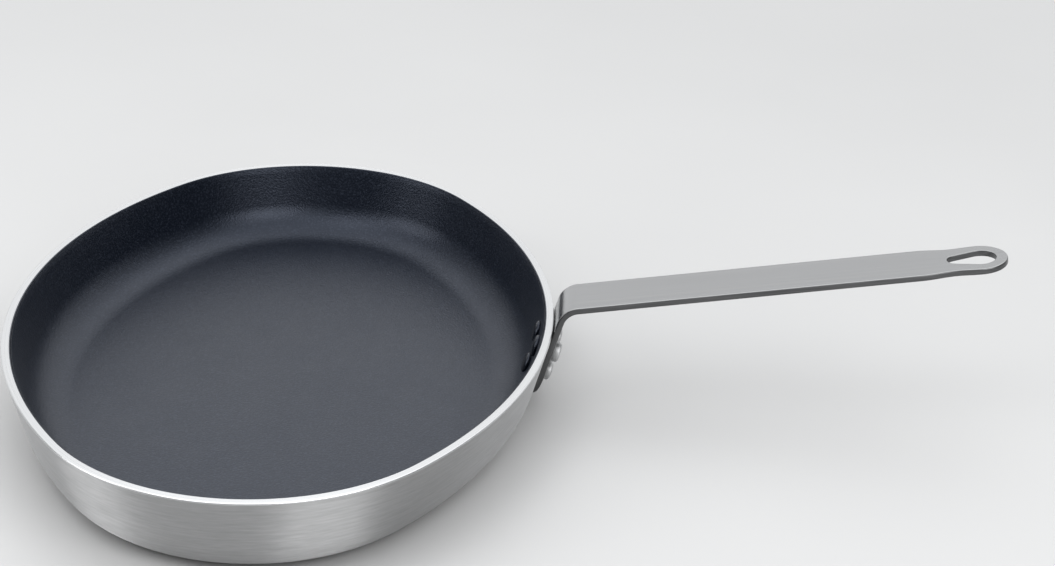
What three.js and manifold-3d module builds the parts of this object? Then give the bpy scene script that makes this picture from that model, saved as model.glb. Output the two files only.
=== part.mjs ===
// Oval frying pan: a pressed aluminium pan, its non-stick coating, and a bent steel strip handle
// held by three solid rivets. Millimetres. The origin is the centre of the pan's underside,
// +Z points up and +X points along the handle, which leaves the middle of one long side.

import * as THREE from 'three';
import { mergeVertices } from 'three/addons/utils/BufferGeometryUtils.js';
import Module from 'manifold-3d';

const wasm = await Module();
wasm.setup();
const { degToRad } = THREE.MathUtils;

// Pan: an oval of four arcs, drawn at the rim's outside edge
const RIM_LENGTH = 360; // outside, across the handle
const RIM_WIDTH = 253; // outside, in line with the handle
const END_RADIUS = 98; // outside, at the two narrow ends
const PAN_DEPTH = 41.4; // underside to rim
const WALL = 4; // thickness
const BASE = 6; // thickness, more than the wall's
const WALL_FLARE = degToRad(14.8); // the wall's lean outwards from upright
const CORNER_RADIUS = 21; // inside, between floor and wall
const OUTER_CORNER = 22.5; // outside, between underside and wall
const RIM_EDGE = 0.6; // broken edge on both sides of the flat rim

// Non-stick coating on the whole inside
const COATING = 0.3;
const COATING_GAP = 0.1; // bond line between pan and coating

// Handle: one strip, measured on the face that looks at the pan and then upwards
const STRIP_WIDTH = 28;
const STRIP = 3; // thickness
const STRIP_EDGE = 0.6; // broken edge
const STRIP_GAP = 0.3; // between the wall and the tongue
const TONGUE_MARGIN = 8.5; // from the lower rivet to the tongue's end
const TONGUE_CORNER = 6; // corner radius of the tongue's end
const HANDLE_RISE = 10.6; // upper face above the rim, over the rim's outside edge
const HANDLE_SLOPE = degToRad(9.5);
const HANDLE_REACH = 209.1; // along the upper face, from over the rim's outside edge to the tip
const BEND_RADIUS = 8; // inside the bend
const EYE_RADIUS = 13.1; // the round end
const WAIST_WIDTH = 24.6; // where the strip narrows before the round end
const WAIST_TO_EYE = 12; // from the waist to the centre of the round end
const WAIST_RUN = 16; // over which the strip narrows to the waist

// Hanging hole: a round hole drawn out to a smaller round towards the pan
const HOLE_RADIUS = 7.2;
const HOLE_SMALL_RADIUS = 4.2;
const HOLE_TAPER = 10.9; // between the centres of the two rounds
const HOLE_LIP = 5.3; // from the hole to the tip

// Rivets: an upper pair and a lower one between them
const RIVET_TOP = 12.4; // rim to the upper pair, down the wall
const RIVET_DROP = 14; // from the upper pair down to the lower rivet
const RIVET_SPREAD = 16; // between the upper pair
const SHANK_RADIUS = 2.5;
const SHANK_CLEARANCE = 0.3;
const HEAD_SEAT = 0.3; // clearance under both heads
const OUTER_HEAD_RADIUS = 4.75;
const OUTER_HEAD_HEIGHT = 3.5;
const OUTER_HEAD_ROUND = 1; // edge radius
const INNER_HEAD_RADIUS = 5.2;
const INNER_HEAD_HEIGHT = 2;
const INNER_HEAD_CROWN = 3.6; // width of the domed ring round the flat middle
const INNER_HEAD_SIDE = 0.4; // straight part of the side, below the dome

// Smoothness
const SIDE_STEPS = 16; // along each of the oval's long arcs
const END_STEPS = 20; // along each of its end arcs
const CORNER_STEPS = 6;
const BEND_STEPS = 8;
const WAIST_STEPS = 4;
const EYE_STEPS = 8;
const EYE_LAST_ANGLE = degToRad(84); // the tip beyond it is a small flat
const ROUND_STEPS = 24; // round holes and rivets
const EDGE_STEPS = 4;

// The oval's remaining arc
const HALF_LENGTH = RIM_LENGTH / 2;
const HALF_WIDTH = RIM_WIDTH / 2;
const SIDE_RADIUS =
  (HALF_LENGTH ** 2 + HALF_WIDTH ** 2 - 2 * HALF_LENGTH * END_RADIUS) / (2 * (HALF_WIDTH - END_RADIUS));
const SIDE_ANGLE = Math.atan2(HALF_LENGTH - END_RADIUS, SIDE_RADIUS - HALF_WIDTH);

// The pan's surfaces: height of the flat, corner radius, and depth in from the outside of the wall
const OUTSIDE = { flat: 0, radius: OUTER_CORNER, depth: 0 };
const INSIDE = insideBy(0);
const OUTSIDE_CENTRE = cornerCentre(OUTSIDE);
const CORNER_TOP = OUTER_CORNER * (1 - Math.sin(WALL_FLARE)); // where corner meets wall, outside
const WALL_RUN = (PAN_DEPTH - CORNER_TOP) / Math.cos(WALL_FLARE); // rim to corner, down the wall

function insideBy(inset) {
  return { flat: BASE + inset, radius: CORNER_RADIUS - inset, depth: WALL + inset };
}

// The middle of a surface's corner, as an offset from the rim's outside edge and a height.
function cornerCentre({ flat, radius, depth }) {
  const z = flat + radius;
  const offset = (z - PAN_DEPTH) * Math.tan(WALL_FLARE) - (depth + radius) / Math.cos(WALL_FLARE);
  return { offset, z };
}

// Solids and their geometry

function solidOf(geometry) {
  const bare = geometry.clone();
  bare.deleteAttribute('normal');
  bare.deleteAttribute('uv');
  const merged = mergeVertices(bare);
  const corners = merged.index.array;
  const triangles = [];
  for (let i = 0; i < corners.length; i += 3) {
    const [a, b, c] = corners.subarray(i, i + 3);
    if (a !== b && b !== c && c !== a) triangles.push(a, b, c);
  }
  return new wasm.Manifold(
    new wasm.Mesh({
      numProp: 3,
      vertProperties: new Float32Array(merged.attributes.position.array),
      triVerts: new Uint32Array(triangles),
    }),
  );
}

function geometryOf(solid) {
  const mesh = solid.getMesh();
  const geometry = new THREE.BufferGeometry();
  geometry.setAttribute('position', new THREE.BufferAttribute(mesh.vertProperties, mesh.numProp));
  geometry.setIndex(new THREE.BufferAttribute(mesh.triVerts, 1));
  geometry.computeVertexNormals();
  return geometry;
}

// A closed skin over a stack of rings with as many points each, with a flat cap at either end.
function loft(rings) {
  const count = rings[0].length;
  const last = (rings.length - 1) * count;
  const points = rings.flat();
  const index = [];
  for (let start = 0; start < last; start += count) {
    for (let i = 0; i < count; i++) {
      const a = start + i;
      const b = start + ((i + 1) % count);
      index.push(a, b, b + count, a, b + count, a + count);
    }
  }
  const total = (ring) => ring.reduce((sum, point) => sum.add(point), new THREE.Vector3());
  const middle = (ring) => total(ring).divideScalar(count);
  points.push(middle(rings[0]), middle(rings[rings.length - 1]));
  for (let i = 0; i < count; i++) {
    const next = (i + 1) % count;
    index.push(points.length - 2, next, i);
    index.push(points.length - 1, last + i, last + next);
  }
  return new THREE.BufferGeometry().setFromPoints(points).setIndex(index);
}

// Pan and coating

// The rim's outline moved outwards by offset, at height z, anticlockwise from above.
function ovalRing([offset, z]) {
  const sideCentre = HALF_WIDTH - SIDE_RADIUS;
  const endCentre = HALF_LENGTH - END_RADIUS;
  const endTo = Math.PI - SIDE_ANGLE;
  const arcs = [
    { x: sideCentre, y: 0, radius: SIDE_RADIUS, from: -SIDE_ANGLE, to: SIDE_ANGLE, steps: SIDE_STEPS },
    { x: 0, y: endCentre, radius: END_RADIUS, from: SIDE_ANGLE, to: endTo, steps: END_STEPS },
  ];
  const half = arcs.flatMap(({ x, y, radius, from, to, steps }) =>
    Array.from({ length: steps }, (_, step) => {
      const angle = from + ((to - from) * step) / steps;
      const reach = radius + offset;
      return new THREE.Vector3(x + reach * Math.cos(angle), y + reach * Math.sin(angle), z);
    }),
  );
  const otherHalf = half.map((point) => new THREE.Vector3(-point.x, -point.y, z));
  return [...half, ...otherHalf];
}

// Offset and height on a surface, from the edge of its flat up to top.
function wallProfile(surface, top) {
  const { radius } = surface;
  const centre = cornerCentre(surface);
  const profile = [];
  for (let step = 0; step <= CORNER_STEPS; step++) {
    const lean = Math.PI / 2 + ((WALL_FLARE - Math.PI / 2) * step) / CORNER_STEPS;
    profile.push([centre.offset + radius * Math.cos(lean), centre.z - radius * Math.sin(lean)]);
  }
  const [offset, height] = profile[CORNER_STEPS];
  profile.push([offset + (top - height) * Math.tan(WALL_FLARE), top]);
  return profile;
}

const RIM_FLAT_WIDTH = WALL / Math.cos(WALL_FLARE);

function panBody() {
  const rimEdgeTop = PAN_DEPTH - RIM_EDGE;
  const profile = [
    ...wallProfile(OUTSIDE, rimEdgeTop),
    [-RIM_EDGE, PAN_DEPTH],
    [RIM_EDGE - RIM_FLAT_WIDTH, PAN_DEPTH],
    ...wallProfile(INSIDE, rimEdgeTop).reverse(),
  ];
  return solidOf(loft(profile.map(ovalRing)));
}

function coating() {
  const top = PAN_DEPTH - RIM_EDGE;
  const back = insideBy(COATING_GAP);
  const front = insideBy(COATING_GAP + COATING);
  const profile = [...wallProfile(back, top), ...wallProfile(front, top).reverse()];
  return solidOf(loft(profile.map(ovalRing)));
}

// The room inside the pan that the rivets' inner heads sit in, clear of the coating.
function headRoom() {
  const profile = wallProfile(insideBy(COATING_GAP + COATING + HEAD_SEAT), PAN_DEPTH);
  return solidOf(loft(profile.map(ovalRing)));
}

// Place and lean of the outside of the wall, some way down from the rim and clear of it.
function outsideWall(down, clear = 0) {
  const onCorner = Math.max(0, down - WALL_RUN) / OUTER_CORNER;
  const lean = WALL_FLARE + onCorner;
  const straight = Math.min(down, WALL_RUN) - WALL_RUN;
  const reach = OUTER_CORNER + clear;
  return {
    lean,
    offset: OUTSIDE_CENTRE.offset + reach * Math.cos(lean) - straight * Math.sin(WALL_FLARE),
    z: OUTSIDE_CENTRE.z - reach * Math.sin(lean) - straight * Math.cos(WALL_FLARE),
  };
}

// How far the inside lies behind that place, square to the outside: there the inside is either the
// straight wall or, lower down, the corner.
function thicknessAt(down) {
  const { lean, offset, z } = outsideWall(down);
  const centre = cornerCentre(INSIDE);
  const place = new THREE.Vector2(offset - centre.offset, centre.z - z);
  const away = (angle) => place.x * Math.cos(angle) + place.y * Math.sin(angle);
  const aside = away(lean + Math.PI / 2);
  if (aside < CORNER_RADIUS * Math.sin(WALL_FLARE - lean)) {
    return (away(WALL_FLARE) - CORNER_RADIUS) / Math.cos(lean - WALL_FLARE);
  }
  return away(lean) - Math.sqrt(CORNER_RADIUS ** 2 - aside ** 2);
}

// Handle

const UPRIGHT = Math.PI / 2 - WALL_FLARE; // the tongue's direction, from level
const BEND_OUTSIDE = BEND_RADIUS + STRIP;
const along = (angle) => new THREE.Vector3(Math.cos(angle), 0, Math.sin(angle));
const across = (angle) => new THREE.Vector3(-Math.sin(angle), 0, Math.cos(angle));
const GRIP_START = new THREE.Vector3(HALF_WIDTH, 0, PAN_DEPTH + HANDLE_RISE);
const EYE_CENTRE = HANDLE_REACH - EYE_RADIUS;
const TONGUE_END = RIVET_TOP + RIVET_DROP + TONGUE_MARGIN;

const onGrip = (reach) => GRIP_START.clone().addScaledVector(along(HANDLE_SLOPE), reach);

function onTongue(down) {
  const { lean, offset, z } = outsideWall(down, STRIP_GAP);
  return { point: new THREE.Vector3(HALF_WIDTH + offset, 0, z), angle: Math.PI / 2 - lean };
}

// How far above the rim the tongue's line meets the grip's line, and where the bend starts and ends.
function bendPlaces() {
  const { point } = onTongue(0);
  const gap = GRIP_START.clone().sub(point);
  const turn = UPRIGHT - HANDLE_SLOPE;
  const above = gap.dot(across(HANDLE_SLOPE)) / Math.sin(turn);
  const meeting = point.clone().addScaledVector(along(UPRIGHT), above);
  const setback = BEND_OUTSIDE * Math.tan(turn / 2);
  return {
    above: above - setback,
    reach: meeting.sub(GRIP_START).dot(along(HANDLE_SLOPE)) + setback,
  };
}

// The strip from the tongue's end to the tip: place and direction of the face that looks at the pan
// and then upwards, half the width, and how far the strip is dished to the wall's curve.
function stripStations() {
  const halfWidth = STRIP_WIDTH / 2;
  const halfWaist = WAIST_WIDTH / 2;
  const bend = bendPlaces();
  const stations = [];
  const dishAt = (down) => THREE.MathUtils.clamp((down + bend.above) / (RIVET_TOP + bend.above), 0, 1);
  const tongue = (down, half) => stations.push({ ...onTongue(down), half, dish: dishAt(down) });
  const grip = (reach, half) => stations.push({ point: onGrip(reach), angle: HANDLE_SLOPE, half, dish: 0 });
  const ease = (share) => (1 - Math.cos(Math.PI * share)) / 2;

  for (let step = 0; step <= EDGE_STEPS; step++) {
    const angle = (Math.PI / 2) * (step / EDGE_STEPS);
    const inset = TONGUE_CORNER * (1 - Math.sin(angle));
    tongue(TONGUE_END - TONGUE_CORNER * (1 - Math.cos(angle)), halfWidth - inset);
  }
  tongue((TONGUE_END - TONGUE_CORNER + RIVET_TOP) / 2, halfWidth);
  tongue(RIVET_TOP, halfWidth);
  tongue(0, halfWidth);

  const bendStart = onTongue(-bend.above).point;
  const bendCentre = bendStart.addScaledVector(across(UPRIGHT), -BEND_OUTSIDE);
  for (let step = 0; step <= BEND_STEPS; step++) {
    const angle = UPRIGHT + ((HANDLE_SLOPE - UPRIGHT) * step) / BEND_STEPS;
    const point = bendCentre.clone().addScaledVector(across(angle), BEND_OUTSIDE);
    stations.push({ point, angle, half: halfWidth, dish: 0 });
  }

  const waist = EYE_CENTRE - WAIST_TO_EYE;
  for (let step = 0; step <= WAIST_STEPS; step++) {
    const share = step / WAIST_STEPS;
    grip(waist - WAIST_RUN * (1 - share), THREE.MathUtils.lerp(halfWidth, halfWaist, ease(share)));
  }
  for (let step = 1; step < WAIST_STEPS; step++) {
    const share = step / WAIST_STEPS;
    grip(waist + WAIST_TO_EYE * share, THREE.MathUtils.lerp(halfWaist, EYE_RADIUS, ease(share)));
  }
  for (let step = 0; step <= EYE_STEPS; step++) {
    const angle = (EYE_LAST_ANGLE * step) / EYE_STEPS;
    grip(EYE_CENTRE + EYE_RADIUS * Math.sin(angle), EYE_RADIUS * Math.cos(angle));
  }
  return stations;
}

// The strip's section at a station: two broad faces in four steps, between broken edges.
function stripSection({ point, angle, half, dish }) {
  const flat = half - STRIP_EDGE;
  const shares = [-1, -0.5, 0, 0.5, 1];
  const outline = [
    ...shares.map((share) => [share * flat, -STRIP]),
    [half, STRIP_EDGE - STRIP],
    [half, -STRIP_EDGE],
    ...shares.map((share) => [-share * flat, 0]),
    [-half, -STRIP_EDGE],
    [-half, STRIP_EDGE - STRIP],
  ];
  return outline.map(([y, depth]) => {
    const dished = depth + (dish * y ** 2) / (2 * SIDE_RADIUS);
    const place = point.clone().addScaledVector(across(angle), dished);
    return place.setY(y);
  });
}

function hangingHole() {
  const centre = HANDLE_REACH - HOLE_LIP - HOLE_RADIUS;
  const side = Math.acos((HOLE_RADIUS - HOLE_SMALL_RADIUS) / HOLE_TAPER);
  const outline = new THREE.Shape();
  outline.absarc(0, 0, HOLE_RADIUS, side - Math.PI, Math.PI - side);
  outline.absarc(-HOLE_TAPER, 0, HOLE_SMALL_RADIUS, Math.PI - side, Math.PI + side);
  outline.closePath();
  const depth = 3 * STRIP; // well past both faces
  const cut = new THREE.ExtrudeGeometry(outline, {
    depth,
    bevelEnabled: false,
    curveSegments: ROUND_STEPS / 2,
  });
  const sideways = new THREE.Vector3(0, 1, 0);
  const turn = new THREE.Matrix4().makeBasis(along(HANDLE_SLOPE), sideways, across(HANDLE_SLOPE));
  cut.translate(0, 0, -(STRIP + depth) / 2);
  cut.applyMatrix4(turn.setPosition(onGrip(centre)));
  return solidOf(cut);
}

// Rivets, each along its own +Z, outwards, from the outside of the wall

const RIVETS = [
  { name: 'rivet_upper_near', down: RIVET_TOP, side: -RIVET_SPREAD / 2 },
  { name: 'rivet_upper_far', down: RIVET_TOP, side: RIVET_SPREAD / 2 },
  { name: 'rivet_lower', down: RIVET_TOP + RIVET_DROP, side: 0 },
];

function rivetPlace({ down, side }) {
  const { lean, offset, z } = outsideWall(down);
  const bearing = Math.asin(side / SIDE_RADIUS);
  const reach = SIDE_RADIUS + offset;
  const outwards = new THREE.Vector3(
    Math.cos(lean) * Math.cos(bearing),
    Math.cos(lean) * Math.sin(bearing),
    -Math.sin(lean),
  );
  const x = HALF_WIDTH - SIDE_RADIUS + reach * Math.cos(bearing);
  const place = new THREE.Matrix4().makeRotationFromQuaternion(
    new THREE.Quaternion().setFromUnitVectors(new THREE.Vector3(0, 0, 1), outwards),
  );
  return place.setPosition(x, reach * Math.sin(bearing), z);
}

// A revolved solid from radius and height pairs that start and end on the axis.
function turned(profile, place) {
  const points = profile.map(([radius, height]) => new THREE.Vector2(radius, height));
  const geometry = new THREE.LatheGeometry(points, ROUND_STEPS);
  return solidOf(geometry.rotateX(Math.PI / 2).applyMatrix4(place));
}

// A head's rounded edge, from its side up to its flat middle: a quarter ellipse, width by rise.
function headEdge(radius, side, width, rise) {
  return Array.from({ length: EDGE_STEPS + 1 }, (_, step) => {
    const angle = (Math.PI / 2) * (step / EDGE_STEPS);
    return [radius - width * (1 - Math.cos(angle)), side + rise * Math.sin(angle)];
  });
}

function rivet({ down }, place) {
  const outerSeat = STRIP_GAP + STRIP + HEAD_SEAT;
  const outerTop = outerSeat + OUTER_HEAD_HEIGHT;
  const innerSeat = -thicknessAt(down) - COATING_GAP - COATING - HEAD_SEAT;
  const innerTop = innerSeat - INNER_HEAD_HEIGHT;
  const innerSide = innerSeat - INNER_HEAD_SIDE;
  const innerRoot = innerSeat + INNER_HEAD_HEIGHT; // cut back to the wall's own curve
  const shankEnd = (innerSide + innerTop) / 2;
  const outside = turned(
    [
      [0, shankEnd],
      [SHANK_RADIUS, shankEnd],
      [SHANK_RADIUS, outerSeat],
      [OUTER_HEAD_RADIUS, outerSeat],
      ...headEdge(OUTER_HEAD_RADIUS, outerTop - OUTER_HEAD_ROUND, OUTER_HEAD_ROUND, OUTER_HEAD_ROUND),
      [0, outerTop],
    ],
    place,
  );
  const inside = turned(
    [
      [0, innerTop],
      ...headEdge(INNER_HEAD_RADIUS, innerSide, INNER_HEAD_CROWN, innerTop - innerSide).reverse(),
      [INNER_HEAD_RADIUS, innerRoot],
      [0, innerRoot],
    ],
    place,
  );
  return outside.add(inside.intersect(headRoom()));
}

function rivetHole(place) {
  const radius = SHANK_RADIUS + SHANK_CLEARANCE;
  const reach = BASE + STRIP + INNER_HEAD_RADIUS;
  return turned([[0, -reach], [radius, -reach], [radius, reach], [0, reach]], place);
}

// Assembly

const aluminium = new THREE.MeshStandardMaterial({ color: 0xc6c8ca, roughness: 0.35, metalness: 1 });
const darkCoating = new THREE.MeshStandardMaterial({ color: 0x2c303a, roughness: 0.5, metalness: 0 });
const steel = new THREE.MeshStandardMaterial({ color: 0xa8abad, roughness: 0.28, metalness: 1 });
const rivetMetal = new THREE.MeshStandardMaterial({ color: 0xc2c4c6, roughness: 0.3, metalness: 1 });

const places = RIVETS.map(rivetPlace);
const holes = places.map(rivetHole).reduce((all, hole) => all.add(hole));
const strip = solidOf(loft(stripStations().map(stripSection)));

const group = new THREE.Group();
function addPiece(name, solid, material) {
  const mesh = new THREE.Mesh(geometryOf(solid), material);
  mesh.name = name;
  group.add(mesh);
}

addPiece('pan_body', panBody().subtract(holes), aluminium);
addPiece('nonstick_coating', coating().subtract(holes), darkCoating);
addPiece('handle', strip.subtract(holes).subtract(hangingHole()), steel);
RIVETS.forEach((one, i) => addPiece(one.name, rivet(one, places[i]), rivetMetal));

export default group;
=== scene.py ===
"""Oval frying pan: the looks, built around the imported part. Lengths are in millimetres until MM scales
them, apart from the stage's, which are in metres."""

import math

import bmesh
import bpy
from mathutils import Matrix, Vector


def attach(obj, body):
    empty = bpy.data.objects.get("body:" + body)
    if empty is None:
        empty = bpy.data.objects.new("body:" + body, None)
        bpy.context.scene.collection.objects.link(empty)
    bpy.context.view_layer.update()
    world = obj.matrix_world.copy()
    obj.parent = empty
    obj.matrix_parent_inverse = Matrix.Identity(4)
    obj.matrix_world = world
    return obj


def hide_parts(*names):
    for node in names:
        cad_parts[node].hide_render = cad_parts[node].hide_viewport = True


MM = 0.001

# Pan: an oval of four arcs at the rim's outside edge
RIM_LENGTH = 360
RIM_WIDTH = 253
END_RADIUS = 98
PAN_DEPTH = 41.4
WALL = 4
BASE = 6
WALL_FLARE = math.radians(14.8)
CORNER_RADIUS = 21
OUTER_CORNER = 22.5
RIM_EDGE = 0.6
COATING = 0.3
COATING_GAP = 0.1

# Handle: a strip, measured on the face that looks at the pan and then upwards
STRIP_WIDTH = 28
STRIP = 3
STRIP_EDGE = 0.7
STRIP_GAP = 0.3
TONGUE_MARGIN = 8.5
TONGUE_CORNER = 6
HANDLE_RISE = 10.6
HANDLE_SLOPE = math.radians(9.5)
HANDLE_REACH = 209.1
BEND_RADIUS = 8
EYE_RADIUS = 13.1
WAIST_WIDTH = 24.6
WAIST_TO_EYE = 12
WAIST_RUN = 16
HOLE_RADIUS = 7.2
HOLE_SMALL_RADIUS = 4.2
HOLE_TAPER = 10.9
HOLE_LIP = 5.3
HOLE_EDGE = 0.5

# Rivets: an upper pair and a lower one between them
RIVET_TOP = 12.4
RIVET_DROP = 14
RIVET_SPREAD = 16
SHANK_RADIUS = 2.5
OUTER_HEAD_RADIUS = 4.75
OUTER_HEAD_HEIGHT = 3.5
OUTER_HEAD_ROUND = 1
INNER_HEAD_RADIUS = 5.2
INNER_HEAD_HEIGHT = 2.3
INNER_HEAD_CROWN = 3.6
INNER_HEAD_SIDE = 0.7
HEAD_SINK = 1.2  # the inner head's root, hidden in the wall's curve

# Smoothness
SIDE_STEPS = 26  # along half of each long arc
END_STEPS = 60
CORNER_STEPS = 20
WALL_STEPS = 6
EDGE_STEPS = 5
BEND_CUTS = 24
TONGUE_CUTS = 12
ROUND_STEPS = 48
OUTLINE_STEP = 2.5  # between points along the strip's straight sides
BRIGHT_ROWS = 2  # of the strip's upper rounded edge, which keep the face's steel rather than the painted shade of its sides
FLOOR_RING = 3  # the flat ring between a corner and the cap inside it
SAME_PLACE = 0.001  # points nearer than this count as one
CUT_SLACK = 0.00001
FLAT_FACE_WEIGHT = 100  # large faces set the shading, and the narrow ones beside them follow

# Metals: darkest and lightest colour, roughness, anisotropy, scratches per metre lengthways and across
WALL_METAL = ((0.395, 0.397, 0.4), (0.525, 0.527, 0.53), 0.5, 0.96, (150, 4000))
RIM_METAL = ((0.57, 0.574, 0.58), (0.62, 0.624, 0.63), 0.3, 0.7, (20, 5000))
HANDLE_METAL = ((0.285, 0.287, 0.29), (0.31, 0.312, 0.315), 0.23, 0.2, (14, 2600))
# The strip's sides: the face's steel painted darker, as painted shade; only their higher roughness is
# their own finish
HANDLE_SIDE_SHADED_METAL = ((0.09, 0.091, 0.093), (0.15, 0.151, 0.153), 0.36, 0.3, (60, 1800))
RIVET_METAL = ((0.52, 0.524, 0.53), (0.58, 0.584, 0.59), 0.55, 0.0, (300, 900))
COARSE_LONGER = 3  # coarse scratches against the fine ones
COARSE_WIDER = 5
PATCH_LENGTH = 6  # in lengths of the fine scratches
PATCH_WIDTH = 3
STREAK_RANGE = (0.7, 1.3)  # of fine and coarse scratches together
METAL_ROUGHNESS_SPREAD = 0.05
SCRATCH_DEPTH = 0.006
QUARTER_TURN = 0.25

# Coating: roughness and shade of the lining and of the rivets' heads, and what they share
LINING_COATING = (0.35, 1)
HEAD_COATING = (0.2, 0.4)
COATING_DARK = (0.002, 0.0036, 0.0075)
COATING_LIGHT = (0.011, 0.0142, 0.0218)
COATING_TINT = (0.72, 0.8, 1)
COATING_IOR = 1.48
FLECK_SCALE = 1700
SPECK_SCALE = 900
PEEL_SCALE = 1000
COATING_PATCH_SCALE = 60
SPECK_RANGE = (0.5, 0.68)
FLECK_ROUGHNESS = (-0.03, 0.05)
COATING_ROUGHNESS_SPREAD = 0.02
FLECK_HEIGHT = 0.35  # against the orange peel's
PEEL_DEPTH = 0.15

# Underside
BASE_DARK = (0.54, 0.545, 0.55)
BASE_LIGHT = (0.68, 0.685, 0.69)
BASE_ROUGHNESS = (0.36, 0.5)
BASE_PATCH_SCALE = 25
SANDING_SCALE = (2600, 22, 1)
SANDING_DEPTH = 0.008

# Noise, whose scales are per metre: the range of most of its values, and how finely it is broken up
NOISE_LOW = 0.3
NOISE_HIGH = 0.7
PLAIN_DETAIL = 1.0
SOME_DETAIL = 2.0
FULL_DETAIL = 3.0

# Sockets of the mix node for colours
MIX_FACTOR = 0
MIX_FIRST = 6
MIX_SECOND = 7
MIX_RESULT = 2

# Camera, fitted to the photograph, in millimetres and degrees
CAMERA_PLACE = (120.2, -845.1, 452.1)
CAMERA_TURN = (65.034, -2.574, 1.681)
CAMERA_LENS = 68.25
CAMERA_SENSOR = 36

# Stage, in metres: a floor, and softboxes with place, width and height, and watts
FLOOR_SIZE = 30
FLOOR_DARK = (0.46, 0.46, 0.46)
FLOOR_LIGHT = (0.48, 0.48, 0.48)
FLOOR_ROUGHNESS = 0.6
FLOOR_PATCH_SCALE = 3
SOFTBOXES = {
    "left_softbox": ((-1.375, -0.394, 0.66), (1, 0.9), 9),
    "front_softbox": ((-0.575, -0.639, 1.229), (0.6, 0.9), 3.3),
    "right_softbox": ((0.843, -1.041, 0.87), (1.08, 0.9), 12),
}

# Brightness of the surround: towards a direction, from one share of it to another, low to high
CEILING = ((0, 0, 1), 0.45, 0.95, 0, 1.8)
BACKDROP = ((0, 1, 0), 0, 0.8, 0.02, 1.2)
FILL = ((0, -0.94, 0.34), 0.75, 1, 0, 0.22)
SURROUND_COLOUR = (0.98, 0.99, 1, 1)

# Derived sizes, as in the part
HALF_LENGTH = RIM_LENGTH / 2
HALF_WIDTH = RIM_WIDTH / 2
SIDE_EXCESS = HALF_LENGTH**2 + HALF_WIDTH**2 - 2 * HALF_LENGTH * END_RADIUS
SIDE_RADIUS = SIDE_EXCESS / (2 * (HALF_WIDTH - END_RADIUS))
SIDE_ANGLE = math.atan2(HALF_LENGTH - END_RADIUS, SIDE_RADIUS - HALF_WIDTH)
CORNER_TOP = OUTER_CORNER * (1 - math.sin(WALL_FLARE))
WALL_RUN = (PAN_DEPTH - CORNER_TOP) / math.cos(WALL_FLARE)
RIM_FLAT_WIDTH = WALL / math.cos(WALL_FLARE)
OUTSIDE = (0, OUTER_CORNER, 0)  # height of the flat, corner radius, depth in from the wall's outside
UPRIGHT = math.pi / 2 - WALL_FLARE
BEND_OUTSIDE = BEND_RADIUS + STRIP
TONGUE_END = RIVET_TOP + RIVET_DROP + TONGUE_MARGIN


# Materials


def set_range(node, start, end, low, high):
    """Sets a map range node to go from low to high, as its value goes from start to end."""
    for socket, number in (("From Min", start), ("From Max", end), ("To Min", low), ("To Max", high)):
        node.inputs[socket].default_value = number


class Nodes:
    """A new material's node tree, with short calls to add and link nodes."""

    def __init__(self, name):
        self.material = bpy.data.materials.new(name)
        self.material.use_nodes = True
        self.tree = self.material.node_tree
        self.surface = self.tree.nodes["Principled BSDF"]

    def add(self, kind, settings=None, **inputs):
        node = self.tree.nodes.new(kind)
        for key, value in (settings or {}).items():
            setattr(node, key, value)
        for key, value in inputs.items():
            self.feed(node, key.replace("_", " "), value)
        return node

    def feed(self, node, socket, value):
        target = node.inputs[socket]
        if isinstance(value, bpy.types.NodeSocket):
            self.tree.links.new(value, target)
        else:
            target.default_value = value

    def shade(self, **inputs):
        for key, value in inputs.items():
            self.feed(self.surface, key.replace("_", " "), value)
        return self.material

    def own_space(self):
        return self.add("ShaderNodeTexCoord").outputs["Object"]

    def noise(self, place, scale, detail=FULL_DETAIL):
        node = self.add("ShaderNodeTexNoise", Vector=place, Scale=scale, Detail=detail)
        return node.outputs["Fac"]

    def stretched_noise(self, place, scales, detail=FULL_DETAIL):
        spread = self.add("ShaderNodeMapping", Vector=place, Scale=scales)
        return self.noise(spread.outputs["Vector"], 1.0, detail)

    def grain_noise(self, lengthways, crossways, detail=FULL_DETAIL):
        """Noise over the grain map, drawn out along its first direction."""
        grain = self.add("ShaderNodeUVMap", {"uv_map": "grain"})
        return self.stretched_noise(grain.outputs["UV"], (lengthways, crossways, 1), detail)

    def solid_noise(self, scale, detail=FULL_DETAIL):
        """Noise in the part's own space, with features of about one over scale, in metres."""
        return self.noise(self.own_space(), scale, detail)

    def remap(self, value, low, high, start=NOISE_LOW, end=NOISE_HIGH):
        """A value between low and high, as value goes from start to end."""
        node = self.add("ShaderNodeMapRange", Value=value)
        set_range(node, start, end, low, high)
        return node.outputs["Result"]

    def plus(self, first, second):
        node = self.add("ShaderNodeMath", {"operation": "ADD"})
        self.feed(node, 0, first)
        self.feed(node, 1, second)
        return node.outputs["Value"]

    def weighted(self, first, weight, second):
        """First times weight, plus second."""
        node = self.add("ShaderNodeMath", {"operation": "MULTIPLY_ADD"})
        self.feed(node, 0, first)
        self.feed(node, 1, weight)
        self.feed(node, 2, second)
        return node.outputs["Value"]

    def blend(self, factor, first, second):
        """A colour between two, by factor."""
        node = self.add("ShaderNodeMix", {"data_type": "RGBA"})
        self.feed(node, MIX_FACTOR, factor)
        self.feed(node, MIX_FIRST, (*first, 1))
        self.feed(node, MIX_SECOND, (*second, 1))
        return node.outputs[MIX_RESULT]

    def bump(self, height, depth):
        node = self.add("ShaderNodeBump", Height=height, Strength=1.0, Distance=depth * MM)
        return node.outputs["Normal"]

    def tangent(self):
        """The grain map's first direction."""
        node = self.add("ShaderNodeTangent", {"direction_type": "UV_MAP", "uv_map": "grain"})
        return node.outputs["Tangent"]


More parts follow.
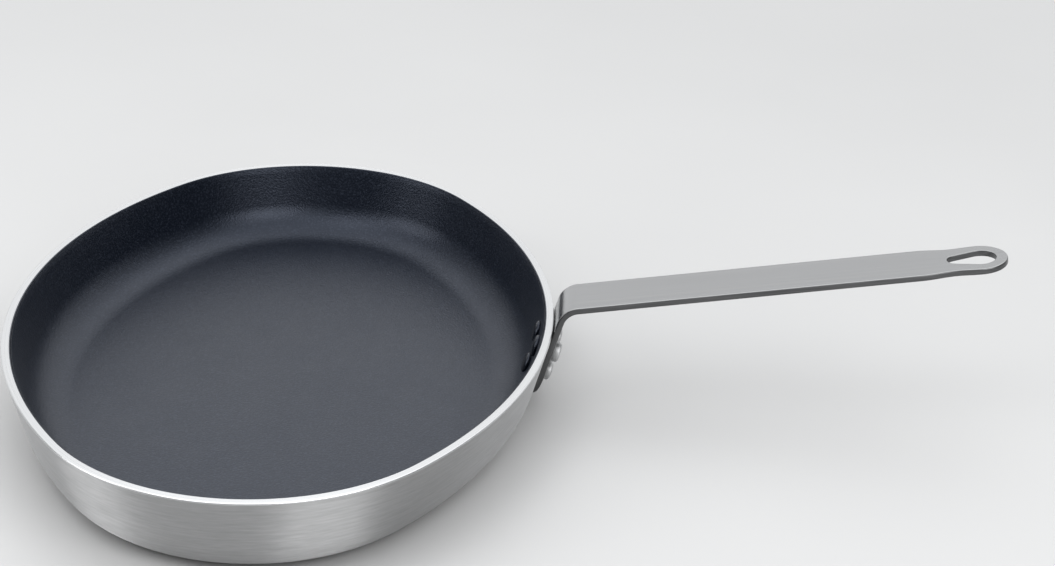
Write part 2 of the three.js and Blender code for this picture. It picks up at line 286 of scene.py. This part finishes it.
def brushed_metal(name, dark, light, roughness, anisotropy, scratches):
    """Metal with fine scratches along the grain map's first direction, in light and dark patches."""
    made = Nodes(name)
    lengthways, crossways = scratches
    fine = made.grain_noise(lengthways, crossways)
    coarse = made.grain_noise(lengthways / COARSE_LONGER, crossways / COARSE_WIDER)
    patch = made.grain_noise(lengthways / PATCH_LENGTH, lengthways / PATCH_WIDTH, SOME_DETAIL)
    level = made.remap(made.plus(fine, coarse), 0, 1, *STREAK_RANGE)
    spread = METAL_ROUGHNESS_SPREAD
    scratch_roughness = made.remap(level, -spread, spread, 0, 1)
    patch_roughness = made.remap(patch, roughness - spread, roughness + spread)
    return made.shade(
        Base_Color=made.blend(level, dark, light),
        Metallic=1.0,
        Roughness=made.plus(scratch_roughness, patch_roughness),
        Anisotropic=anisotropy,
        Anisotropic_Rotation=QUARTER_TURN,
        Tangent=made.tangent(),
        Normal=made.bump(level, SCRATCH_DEPTH),
    )


def coating_look(name, roughness, shade):
    """Dark satin non-stick: fine flecks, and a slight orange peel. Shade scales its colour."""
    made = Nodes(name)
    fleck = made.solid_noise(FLECK_SCALE, SOME_DETAIL)
    speck = made.solid_noise(SPECK_SCALE, PLAIN_DETAIL)
    patch = made.solid_noise(COATING_PATCH_SCALE)
    peel = made.solid_noise(PEEL_SCALE, SOME_DETAIL)
    level = made.remap(speck, 0, 1, *SPECK_RANGE)
    dark = [shade * part for part in COATING_DARK]
    light = [shade * part for part in COATING_LIGHT]
    spread = COATING_ROUGHNESS_SPREAD
    patch_roughness = made.remap(patch, roughness - spread, roughness + spread)
    fleck_roughness = made.remap(fleck, *FLECK_ROUGHNESS)
    return made.shade(
        Base_Color=made.blend(level, dark, light),
        Metallic=0.0,
        IOR=COATING_IOR,
        Specular_Tint=(*COATING_TINT, 1),
        Roughness=made.plus(patch_roughness, fleck_roughness),
        Normal=made.bump(made.weighted(fleck, FLECK_HEIGHT, peel), PEEL_DEPTH),
    )


def base_look(name):
    """The pan's underside: sanded in straight lines along the oval, and slightly dull."""
    made = Nodes(name)
    level = made.remap(made.stretched_noise(made.own_space(), SANDING_SCALE), 0, 1)
    return made.shade(
        Base_Color=made.blend(level, BASE_DARK, BASE_LIGHT),
        Metallic=1.0,
        Roughness=made.remap(made.solid_noise(BASE_PATCH_SCALE), *BASE_ROUGHNESS),
        Normal=made.bump(level, SANDING_DEPTH),
    )


def floor_look(name):
    """Plain pale grey, very slightly clouded."""
    made = Nodes(name)
    level = made.remap(made.solid_noise(FLOOR_PATCH_SCALE), 0, 1)
    return made.shade(Base_Color=made.blend(level, FLOOR_DARK, FLOOR_LIGHT), Roughness=FLOOR_ROUGHNESS)


# Pieces


def add_piece(name, mesh, materials):
    """An evenly shaded object of that mesh, with its materials."""
    for material in materials:
        mesh.materials.append(material)
    piece = bpy.data.objects.new(name, mesh)
    bpy.context.scene.collection.objects.link(piece)
    piece.modifiers.new("even_shading", "WEIGHTED_NORMAL").weight = FLAT_FACE_WEIGHT
    return piece


def add_edited_piece(name, bm, materials):
    """The same from an edit mesh, which is freed."""
    mesh = bpy.data.meshes.new(name)
    bm.to_mesh(mesh)
    bm.free()
    return add_piece(name, mesh, materials)


def place_piece(piece, node):
    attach(piece, "root")
    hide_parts(node)


# Pan and coating


def oval(offset, z):
    """The rim's outline moved outwards by offset, at height z, anticlockwise from over the handle."""
    side = HALF_WIDTH - SIDE_RADIUS
    end = HALF_LENGTH - END_RADIUS
    arcs = (
        (side, 0, SIDE_RADIUS, 0, SIDE_ANGLE, SIDE_STEPS),
        (0, end, END_RADIUS, SIDE_ANGLE, math.pi - SIDE_ANGLE, END_STEPS),
        (-side, 0, SIDE_RADIUS, math.pi - SIDE_ANGLE, math.pi + SIDE_ANGLE, 2 * SIDE_STEPS),
        (0, -end, END_RADIUS, math.pi + SIDE_ANGLE, 2 * math.pi - SIDE_ANGLE, END_STEPS),
        (side, 0, SIDE_RADIUS, -SIDE_ANGLE, 0, SIDE_STEPS),
    )
    ring = []
    for x, y, radius, start_angle, end_angle, steps in arcs:
        reach = radius + offset
        for step in range(steps):
            angle = start_angle + (end_angle - start_angle) * step / steps
            ring.append((x + reach * math.cos(angle), y + reach * math.sin(angle), z))
    return ring


def running_length(points):
    """How far each point lies along the line through all of them, in metres."""
    lengths = [0.0]
    for first, second in zip(points, points[1:]):
        lengths.append(lengths[-1] + math.dist(first, second) * MM)
    return lengths


def oval_shell(name, sections, materials):
    """A closed skin of oval rings. Each section is a material's number and its profile of offsets and
    heights, which starts where the section before it ended. Flat caps close both ends."""
    profile = [sections[0][1][0]]
    numbers = []
    for number, places in sections:
        profile.extend(places[1:])
        numbers.extend([number] * (len(places) - 1))
    outline = oval(0, 0)
    count = len(outline)
    vertices = [[axis * MM for axis in point] for offset, z in profile for point in oval(offset, z)]
    around = running_length([*outline, outline[0]])
    down = running_length(profile)

    faces = [list(range(count))[::-1]]
    face_numbers = [numbers[0]]
    grain = [(vertices[i][0], vertices[i][1]) for i in faces[0]]
    for row, number in enumerate(numbers):
        for i in range(count):
            a = row * count + i
            b = row * count + (i + 1) % count
            faces.append([a, b, b + count, a + count])
            face_numbers.append(number)
            grain += [
                (around[i], down[row]),
                (around[i + 1], down[row]),
                (around[i + 1], down[row + 1]),
                (around[i], down[row + 1]),
            ]
    last = len(numbers) * count
    faces.append(list(range(last, last + count)))
    face_numbers.append(numbers[-1])
    grain += [(vertices[i][0], vertices[i][1]) for i in faces[-1]]

    mesh = bpy.data.meshes.new(name)
    mesh.from_pydata(vertices, [], faces)
    layer = mesh.uv_layers.new(name="grain")
    for corner, place in zip(layer.data, grain):
        corner.uv = place
    for face, number in zip(mesh.polygons, face_numbers):
        face.material_index = number
        face.use_smooth = True
    return add_piece(name, mesh, materials)


def inside_by(inset):
    """The pan's inside moved further in, as height of the flat, corner radius and depth."""
    return BASE + inset, CORNER_RADIUS - inset, WALL + inset


def corner_centre(surface):
    """The middle of a surface's corner, as an offset from the rim's outside edge and a height."""
    flat, radius, depth = surface
    height = flat + radius
    offset = (height - PAN_DEPTH) * math.tan(WALL_FLARE) - (depth + radius) / math.cos(WALL_FLARE)
    return offset, height


def corner_profile(surface):
    """Offsets and heights round a surface's corner, from the edge of its flat to the wall."""
    radius = surface[1]
    offset, height = corner_centre(surface)
    places = []
    for step in range(CORNER_STEPS + 1):
        lean = math.pi / 2 + (WALL_FLARE - math.pi / 2) * step / CORNER_STEPS
        places.append((offset + radius * math.cos(lean), height - radius * math.sin(lean)))
    return places


def wall_profile(start, top):
    """Straight up the wall from the corner's end to height top."""
    offset, height = start
    places = []
    for step in range(WALL_STEPS + 1):
        z = height + (top - height) * step / WALL_STEPS
        places.append((offset + (z - height) * math.tan(WALL_FLARE), z))
    return places


def rim_edge_profile(centre, start, end):
    """A rounded edge of the rim, from one angle to another about a centre."""
    offset, height = centre
    places = []
    for step in range(EDGE_STEPS + 1):
        angle = start + (end - start) * step / EDGE_STEPS
        places.append((offset + RIM_EDGE * math.cos(angle), height + RIM_EDGE * math.sin(angle)))
    return places


def ring_beside(corner_end):
    """The place on the flat from which a ring runs out to the corner."""
    offset, height = corner_end
    return offset - FLOOR_RING, height


def drop_doubles(places):
    """The same places without any that repeats the one before it."""
    kept = [places[0]]
    for place in places[1:]:
        if math.dist(place, kept[-1]) > SAME_PLACE:
            kept.append(place)
    return kept


def pan_shell(wall_look, rim_look, under_look, coated_look):
    """The body. Its wall leans outwards, so the rim's outer edge is sharper than its inner edge."""
    edge_height = PAN_DEPTH - RIM_EDGE
    sharp = RIM_EDGE * (1 / math.cos(WALL_FLARE) + math.tan(WALL_FLARE))
    blunt = RIM_EDGE * (1 / math.cos(WALL_FLARE) - math.tan(WALL_FLARE))
    outer_edge = rim_edge_profile((-sharp, edge_height), -WALL_FLARE, math.pi / 2)
    inner_centre = (blunt - RIM_FLAT_WIDTH, edge_height)
    inner_edge = rim_edge_profile(inner_centre, math.pi / 2, math.pi - WALL_FLARE)
    outer_corner = corner_profile(OUTSIDE)
    inner_corner = corner_profile(inside_by(0))
    outside = wall_profile(outer_corner[-1], outer_edge[0][1])
    inside = wall_profile(inner_corner[-1], inner_edge[-1][1])
    under = [ring_beside(outer_corner[0]), outer_corner[0]]
    wall = [*outer_corner, *outside[1:]]
    rim = [outside[-1], *outer_edge, inner_edge[0]]
    lined = [*inner_edge, *inside[::-1], *inner_corner[::-1], ring_beside(inner_corner[0])]
    wall_number, rim_number, under_number, lined_number = range(4)
    sections = [
        (under_number, under),
        (wall_number, wall),
        (rim_number, drop_doubles(rim)),
        (lined_number, drop_doubles(lined)),
    ]
    return oval_shell("pan_shell", sections, [wall_look, rim_look, under_look, coated_look])


def coating_shell(look):
    """The lining, from the floor up its back to the rim and down its front."""
    top = PAN_DEPTH - RIM_EDGE
    back = corner_profile(inside_by(COATING_GAP))
    front = corner_profile(inside_by(COATING_GAP + COATING))
    profile = [
        ring_beside(back[0]),
        *back,
        *wall_profile(back[-1], top)[1:],
        *wall_profile(front[-1], top)[::-1],
        *front[-2::-1],
        ring_beside(front[0]),
    ]
    return oval_shell("coating_lining", [(0, profile)], [look])


# Places on the wall and along the handle


def along(angle):
    """Lengthways on a strip that rises at that angle."""
    return Vector((math.cos(angle), 0, math.sin(angle)))


def across(angle):
    """Out of the upper face of a strip that rises at that angle."""
    return Vector((-math.sin(angle), 0, math.cos(angle)))


def outside_wall(down, clear=0):
    """Lean, offset and height of the wall's outside, some way down from the rim and clear of it."""
    lean = WALL_FLARE + max(0, down - WALL_RUN) / OUTER_CORNER
    straight = min(down, WALL_RUN) - WALL_RUN
    reach = OUTER_CORNER + clear
    centre_offset, centre_height = corner_centre(OUTSIDE)
    offset = centre_offset + reach * math.cos(lean) - straight * math.sin(WALL_FLARE)
    height = centre_height - reach * math.sin(lean) - straight * math.cos(WALL_FLARE)
    return lean, offset, height


def thickness_at(down):
    """How far the inside lies behind that place, square to the outside: on the straight wall, or lower
    down on the corner."""
    lean, offset, height = outside_wall(down)
    centre_offset, centre_height = corner_centre(inside_by(0))
    beyond = offset - centre_offset
    below = centre_height - height

    def away(angle):
        return beyond * math.cos(angle) + below * math.sin(angle)

    aside = away(lean + math.pi / 2)
    if aside < CORNER_RADIUS * math.sin(WALL_FLARE - lean):
        return (away(WALL_FLARE) - CORNER_RADIUS) / math.cos(lean - WALL_FLARE)
    return away(lean) - math.sqrt(CORNER_RADIUS**2 - aside**2)


def on_tongue(down):
    """Point and rise of the tongue's face, some way down from the rim."""
    lean, offset, height = outside_wall(down, STRIP_GAP)
    return Vector((HALF_WIDTH + offset, 0, height)), math.pi / 2 - lean


GRIP_START = Vector((HALF_WIDTH, 0, PAN_DEPTH + HANDLE_RISE))
TURN = UPRIGHT - HANDLE_SLOPE
RIM_POINT = on_tongue(0)[0]
MEETING = (GRIP_START - RIM_POINT).dot(across(HANDLE_SLOPE)) / math.sin(TURN)
SETBACK = BEND_OUTSIDE * math.tan(TURN / 2)
BEND_ABOVE = MEETING - SETBACK  # from the rim up to where the bend starts
MEETING_POINT = RIM_POINT + along(UPRIGHT) * MEETING
BEND_REACH = (MEETING_POINT - GRIP_START).dot(along(HANDLE_SLOPE)) + SETBACK
BEND_START = TONGUE_END + BEND_ABOVE  # along the strip, from the tongue's end
BEND_END = BEND_START + BEND_OUTSIDE * TURN
STRIP_LENGTH = BEND_END + HANDLE_REACH - BEND_REACH
BEND_CENTRE = on_tongue(-BEND_ABOVE)[0] - across(UPRIGHT) * BEND_OUTSIDE


def strip_place(run, side, depth):
    """A point of the flat strip, bent into place: run from the tongue's end, side across it, depth
    below the face that looks at the pan and then upwards."""
    dish = 0
    if run <= BEND_START:
        down = TONGUE_END - run
        point, angle = on_tongue(down)
        dish = min(1, (down + BEND_ABOVE) / (RIVET_TOP + BEND_ABOVE))
    elif run < BEND_END:
        angle = UPRIGHT - (run - BEND_START) / BEND_OUTSIDE
        point = BEND_CENTRE + across(angle) * BEND_OUTSIDE
    else:
        angle = HANDLE_SLOPE
        point = GRIP_START + along(angle) * (BEND_REACH + run - BEND_END)
    place = point + across(angle) * (dish * side**2 / (2 * SIDE_RADIUS) - depth)
    place.y = side
    return place * MM


# Handle


def eased(start, end):
    """Steps from one place to another, level at both ends, without the last."""
    steps = ROUND_STEPS // 2
    places = []
    for step in range(steps):
        share = step / steps
        ease = (1 - math.cos(math.pi * share)) / 2
        places.append((start[0] + (end[0] - start[0]) * share, start[1] + (end[1] - start[1]) * ease))
    return places


def strip_outline():
    """The flat strip's outline, anticlockwise from the tongue's end, as run and side."""
    half = STRIP_WIDTH / 2
    eye = STRIP_LENGTH - EYE_RADIUS
    waist = (eye - WAIST_TO_EYE, WAIST_WIDTH / 2)
    narrowing = (waist[0] - WAIST_RUN, half)
    edge = []
    corner_steps = 2 * EDGE_STEPS
    for step in range(corner_steps + 1):
        angle = math.pi / 2 * step / corner_steps
        run = TONGUE_CORNER * (1 - math.cos(angle))
        edge.append((run, half - TONGUE_CORNER * (1 - math.sin(angle))))
    start = edge[-1][0]
    straight_steps = int((narrowing[0] - start) / OUTLINE_STEP)
    for step in range(1, straight_steps):
        edge.append((start + (narrowing[0] - start) * step / straight_steps, half))
    edge += eased(narrowing, waist)
    edge += eased(waist, (eye, EYE_RADIUS))
    eye_steps = ROUND_STEPS // 2
    for step in range(eye_steps):
        angle = math.pi / 2 * step / eye_steps
        edge.append((eye + EYE_RADIUS * math.sin(angle), EYE_RADIUS * math.cos(angle)))
    mirrored = [(run, -side) for run, side in edge]
    return [*mirrored, (STRIP_LENGTH, 0), *edge[::-1]]


def hole_outline():
    """The hanging hole, clockwise, as run and side."""
    centre = STRIP_LENGTH - HOLE_LIP - HOLE_RADIUS
    small_centre = centre - HOLE_TAPER
    lean = math.acos((HOLE_RADIUS - HOLE_SMALL_RADIUS) / HOLE_TAPER)
    outline = []
    for step in range(ROUND_STEPS + 1):
        angle = (math.pi - lean) * (1 - 2 * step / ROUND_STEPS)
        outline.append((centre + HOLE_RADIUS * math.cos(angle), HOLE_RADIUS * math.sin(angle)))
    for step in range(ROUND_STEPS // 2 + 1):
        angle = math.pi + lean * (1 - 4 * step / ROUND_STEPS)
        run = small_centre + HOLE_SMALL_RADIUS * math.cos(angle)
        outline.append((run, HOLE_SMALL_RADIUS * math.sin(angle)))
    return outline


def moved_in(outline, distance):
    """An outline moved to its left, which is into the strip."""
    count = len(outline)
    moved = []
    for i, (x, y) in enumerate(outline):
        before = outline[i - 1]
        after = outline[(i + 1) % count]
        way = Vector((after[0] - before[0], after[1] - before[1])).normalized()
        moved.append((x - way.y * distance, y + way.x * distance))
    return moved


def strip_rings(outline, edge):
    """The outline's rounded edge as rings from the upper face's border to the lower face's."""
    rings = []
    for step in range(EDGE_STEPS + 1):
        angle = math.pi / 2 * step / EDGE_STEPS
        inset = edge * (1 - math.sin(angle))
        rings.append((moved_in(outline, inset), edge * (1 - math.cos(angle))))
    lower = [(ring, STRIP - depth) for ring, depth in rings[::-1]]
    return rings + lower


def flat_strip():
    """The strip before it is bent, with run, side and height as its axes."""
    bm = bmesh.new()
    borders = [[], []]
    for outline, edge in ((strip_outline(), STRIP_EDGE), (hole_outline(), HOLE_EDGE)):
        loops = []
        for ring, depth in strip_rings(outline, edge):
            loops.append([bm.verts.new((run, side, -depth)) for run, side in ring])
        count = len(outline)
        for row, (upper, lower) in enumerate(zip(loops, loops[1:])):
            for i in range(count):
                nxt = (i + 1) % count
                face = bm.faces.new((upper[i], lower[i], lower[nxt], upper[nxt]))
                # Side rows get the darker steel, whose darkness is painted shade; the upper rounded edge
                # keeps the face's steel
                face.material_index = 0 if row < BRIGHT_ROWS else 1
        for border, loop in zip(borders, (loops[0], loops[-1])):
            border += [bm.edges.get((loop[i], loop[(i + 1) % count])) for i in range(count)]
    for border in borders:
        bmesh.ops.triangle_fill(bm, use_beauty=True, edges=border)
    bmesh.ops.recalc_face_normals(bm, faces=bm.faces[:])
    return bm


def cut_strip(bm):
    """Cuts the flat strip where it will curve: across its bend and its tongue, and along its tongue."""

    def cut(place, way, faces):
        near = {item for face in faces for item in (face, *face.verts, *face.edges)}
        bmesh.ops.bisect_plane(bm, geom=list(near), dist=CUT_SLACK, plane_co=place, plane_no=way)

    for step in range(BEND_CUTS + 1):
        cut((BEND_START + (BEND_END - BEND_START) * step / BEND_CUTS, 0, 0), (1, 0, 0), bm.faces)
    for step in range(1, TONGUE_CUTS):
        cut((BEND_START * step / TONGUE_CUTS, 0, 0), (1, 0, 0), bm.faces)
    for step in range(1, TONGUE_CUTS):
        tongue = [face for face in bm.faces if face.calc_center_median().x < BEND_START]
        cut((0, STRIP_WIDTH * (step / TONGUE_CUTS - 0.5), 0), (0, 1, 0), tongue)


def handle_strip(look, shaded_side_look):
    """The handle, with its grain laid out on the flat strip and then bent with it."""
    bm = flat_strip()
    cut_strip(bm)
    layer = bm.loops.layers.uv.new("grain")
    for face in bm.faces:
        face.smooth = True
        for corner in face.loops:
            run, side, height = corner.vert.co
            corner[layer].uv = (run * MM, (side + height) * MM)
    for vertex in bm.verts:
        run, side, height = vertex.co
        vertex.co = strip_place(run, side, -height)
    return add_edited_piece("handle_strip", bm, [look, shaded_side_look])


# Rivets


def rivet_matrix(down, side):
    """From a rivet's own axes, +Z outwards from the outside of the wall, to its place."""
    lean, offset, height = outside_wall(down)
    bearing = math.asin(side / SIDE_RADIUS)
    reach = SIDE_RADIUS + offset
    x = HALF_WIDTH - SIDE_RADIUS + reach * math.cos(bearing)
    y = reach * math.sin(bearing)
    level = math.cos(lean)
    outwards = Vector((level * math.cos(bearing), level * math.sin(bearing), -math.sin(lean)))
    turn = outwards.to_track_quat("Z", "Y").to_matrix().to_4x4()
    return Matrix.Translation((x, y, height)) @ turn


def head_edge(radius, side, width, rise):
    """A head's rounded edge, from its side up to its flat middle."""
    steps = 2 * EDGE_STEPS
    places = []
    for step in range(steps + 1):
        angle = math.pi / 2 * step / steps
        places.append((radius - width * (1 - math.cos(angle)), side + rise * math.sin(angle)))
    return places


def rivet_profiles(down):
    """Radius and height round a rivet: its coated inner head, then its bare outer head."""
    outer_seat = STRIP_GAP + STRIP
    outer_side = outer_seat + OUTER_HEAD_HEIGHT - OUTER_HEAD_ROUND
    inner_seat = -thickness_at(down) - COATING_GAP - COATING
    inner_top = inner_seat - INNER_HEAD_HEIGHT
    inner_side = inner_seat - INNER_HEAD_SIDE
    crown = head_edge(INNER_HEAD_RADIUS, inner_side, INNER_HEAD_CROWN, inner_top - inner_side)
    coated = [
        (0, inner_top),
        *crown[::-1],
        (INNER_HEAD_RADIUS, inner_seat + HEAD_SINK),
        (SHANK_RADIUS, inner_seat + HEAD_SINK),
    ]
    bare = [
        (SHANK_RADIUS, outer_seat),
        (OUTER_HEAD_RADIUS, outer_seat),
        *head_edge(OUTER_HEAD_RADIUS, outer_side, OUTER_HEAD_ROUND, OUTER_HEAD_ROUND),
        (0, outer_side + OUTER_HEAD_ROUND),
    ]
    return coated, bare


def rivet(name, down, side, look, coated_look):
    """A rivet turned about its own axis. Its grain runs round the axis."""
    coated, bare = rivet_profiles(down)
    profile = coated + bare
    place = rivet_matrix(down, side)
    bm = bmesh.new()
    layer = bm.loops.layers.uv.new("grain")
    rings = []
    for radius, height in profile:
        ring = []
        for step in range(ROUND_STEPS if radius else 1):
            angle = 2 * math.pi * step / ROUND_STEPS
            point = Vector((radius * math.cos(angle), radius * math.sin(angle), height))
            ring.append(bm.verts.new(place @ point * MM))
        rings.append(ring)
    for row, (low, high) in enumerate(zip(rings, rings[1:])):
        for i in range(ROUND_STEPS):
            nxt = (i + 1) % ROUND_STEPS
            here = [low[i % len(low)], high[i % len(high)]]
            ahead = [low[nxt % len(low)], high[nxt % len(high)]]
            face = bm.faces.new(list(dict.fromkeys([here[0], *ahead, here[1]])))
            face.smooth = True
            face.material_index = 1 if row < len(coated) - 1 else 0
            for corner in face.loops:
                radius, height = profile[row if corner.vert in low else row + 1]
                turn = i + 1 if corner.vert in ahead else i
                round_it = turn / ROUND_STEPS * 2 * math.pi * OUTER_HEAD_RADIUS
                corner[layer].uv = (round_it * MM, (height + radius) * MM)
    bmesh.ops.recalc_face_normals(bm, faces=bm.faces[:])
    return add_edited_piece(name, bm, [look, coated_look])


# Stage


def add_light(name, place, size, power):
    """A softbox that looks at the pan's middle."""
    light = bpy.data.lights.new(name, "AREA")
    light.shape = "RECTANGLE"
    light.size, light.size_y = size
    light.energy = power
    softbox = bpy.data.objects.new(name, light)
    softbox.location = place
    softbox.rotation_euler = (-Vector(place)).to_track_quat("-Z", "Y").to_euler()
    bpy.context.scene.collection.objects.link(softbox)


def add_world():
    """A dim surround, bright towards the ceiling and behind the pan, and a little in front."""
    world = bpy.data.worlds.new("studio")
    world.use_nodes = True
    tree = world.node_tree
    place = tree.nodes.new("ShaderNodeTexCoord")
    background = tree.nodes["Background"]
    total = None
    for way, start, end, low, high in (CEILING, BACKDROP, FILL):
        share = tree.nodes.new("ShaderNodeVectorMath")
        share.operation = "DOT_PRODUCT"
        share.inputs[1].default_value = way
        level = tree.nodes.new("ShaderNodeMapRange")
        level.interpolation_type = "SMOOTHSTEP"
        set_range(level, start, end, low, high)
        tree.links.new(place.outputs["Generated"], share.inputs[0])
        tree.links.new(share.outputs["Value"], level.inputs["Value"])
        if total is None:
            total = level.outputs["Result"]
            continue
        add = tree.nodes.new("ShaderNodeMath")
        tree.links.new(total, add.inputs[0])
        tree.links.new(level.outputs["Result"], add.inputs[1])
        total = add.outputs["Value"]
    background.inputs["Color"].default_value = SURROUND_COLOUR
    tree.links.new(total, background.inputs["Strength"])
    bpy.context.scene.world = world


def add_camera():
    camera = bpy.data.objects.new("camera", bpy.data.cameras.new("camera"))
    camera.location = Vector(CAMERA_PLACE) * MM
    camera.rotation_euler = [math.radians(angle) for angle in CAMERA_TURN]
    camera.data.sensor_width = CAMERA_SENSOR
    camera.data.lens = CAMERA_LENS
    bpy.context.scene.collection.objects.link(camera)
    bpy.context.scene.camera = camera


def add_stage():
    bpy.ops.mesh.primitive_plane_add(size=FLOOR_SIZE, location=(0, 0, 0))
    floor = bpy.context.object
    floor.name = "floor"
    floor.data.materials.append(floor_look("pale_floor"))

    add_world()
    for name, (place, size, power) in SOFTBOXES.items():
        add_light(name, place, size, power)
    add_camera()
    bpy.context.scene.view_settings.view_transform = "Standard"


# Assembly

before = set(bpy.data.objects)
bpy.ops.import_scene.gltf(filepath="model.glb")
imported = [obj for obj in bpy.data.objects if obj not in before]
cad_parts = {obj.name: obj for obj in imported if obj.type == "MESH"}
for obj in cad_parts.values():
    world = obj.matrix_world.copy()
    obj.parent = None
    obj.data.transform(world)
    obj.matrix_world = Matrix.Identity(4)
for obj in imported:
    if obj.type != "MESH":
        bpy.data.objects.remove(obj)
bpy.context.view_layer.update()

wall_metal = brushed_metal("brushed_aluminium", *WALL_METAL)
rim_metal = brushed_metal("machined_rim", *RIM_METAL)
base_metal = base_look("sanded_base")
lining_coating = coating_look("nonstick", *LINING_COATING)
head_coating = coating_look("coated_rivet", *HEAD_COATING)
steel = brushed_metal("satin_steel", *HANDLE_METAL)
# The strip's sides: the handle's steel painted darker, as painted shade
shaded_steel_side = brushed_metal("steel_side_painted_shade", *HANDLE_SIDE_SHADED_METAL)
rivet_metal = brushed_metal("rivet_aluminium", *RIVET_METAL)

pan = pan_shell(wall_metal, rim_metal, base_metal, lining_coating)
place_piece(pan, "pan_body")
place_piece(coating_shell(lining_coating), "nonstick_coating")
place_piece(handle_strip(steel, shaded_steel_side), "handle")
for node, down, side in (
    ("rivet_upper_near", RIVET_TOP, -RIVET_SPREAD / 2),
    ("rivet_upper_far", RIVET_TOP, RIVET_SPREAD / 2),
    ("rivet_lower", RIVET_TOP + RIVET_DROP, 0),
):
    head = rivet(node.replace("rivet", "riveted"), down, side, rivet_metal, head_coating)
    place_piece(head, node)

add_stage()
